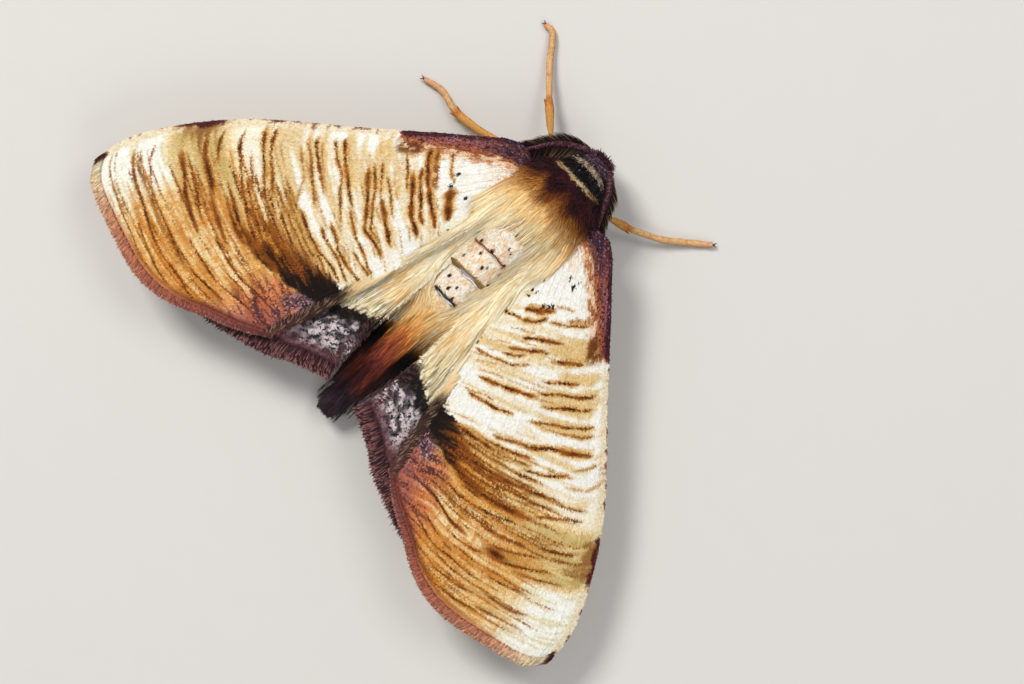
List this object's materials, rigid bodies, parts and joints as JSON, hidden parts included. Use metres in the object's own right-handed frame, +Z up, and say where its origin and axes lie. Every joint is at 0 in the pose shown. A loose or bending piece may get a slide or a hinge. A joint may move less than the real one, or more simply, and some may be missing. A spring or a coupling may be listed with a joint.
{
  "type": "moth",
  "caption": "Life-size still model of a geometrid moth at rest with spread wings, for a museum case or a natural scene; it stands on its feet.",
  "frame": {"origin": "on the floor under the middle of the box around the whole moth", "axes": "+Z up, the head towards -Y, the moth's own left side towards +X, and the spread wings along X"},
  "size_m": [0.025, 0.0176, 0.0038],
  "materials": {
    "forewing_scales": "matte overlapping scales, ivory to orange brown with fine dark cross lines",
    "hindwing_scales": "matte overlapping scales, cream with a dark purple grey corner",
    "body_hair": "long silky straw coloured hair and cream scales",
    "tail_hair": "dark purple brown tufts",
    "head_scales": "matte dark maroon scales with cream cross lines",
    "antenna_scales": "maroon ringed shaft with dark comb teeth",
    "leg_scales": "smooth straw to ochre scales",
    "eye_facets": "glossy dark faceted dome"
  },
  "bodies": {
    "root": {"head": "head_scales", "eye_left": "eye_facets", "eye_right": "eye_facets", "palp_left": "head_scales", "palp_right": "head_scales", "antenna_left": "antenna_scales", "antenna_right": "antenna_scales", "collar": "head_scales", "thorax": "body_hair", "abdomen": "body_hair", "tail_tuft": "tail_hair", "forewing_left": "forewing_scales", "forewing_right": "forewing_scales", "hindwing_left": "hindwing_scales", "hindwing_right": "hindwing_scales", "leg_front_left": "leg_scales", "leg_front_right": "leg_scales", "leg_middle_left": "leg_scales", "leg_middle_right": "leg_scales", "leg_hind_left": "leg_scales", "leg_hind_right": "leg_scales"}
  },
  "joints": []
}
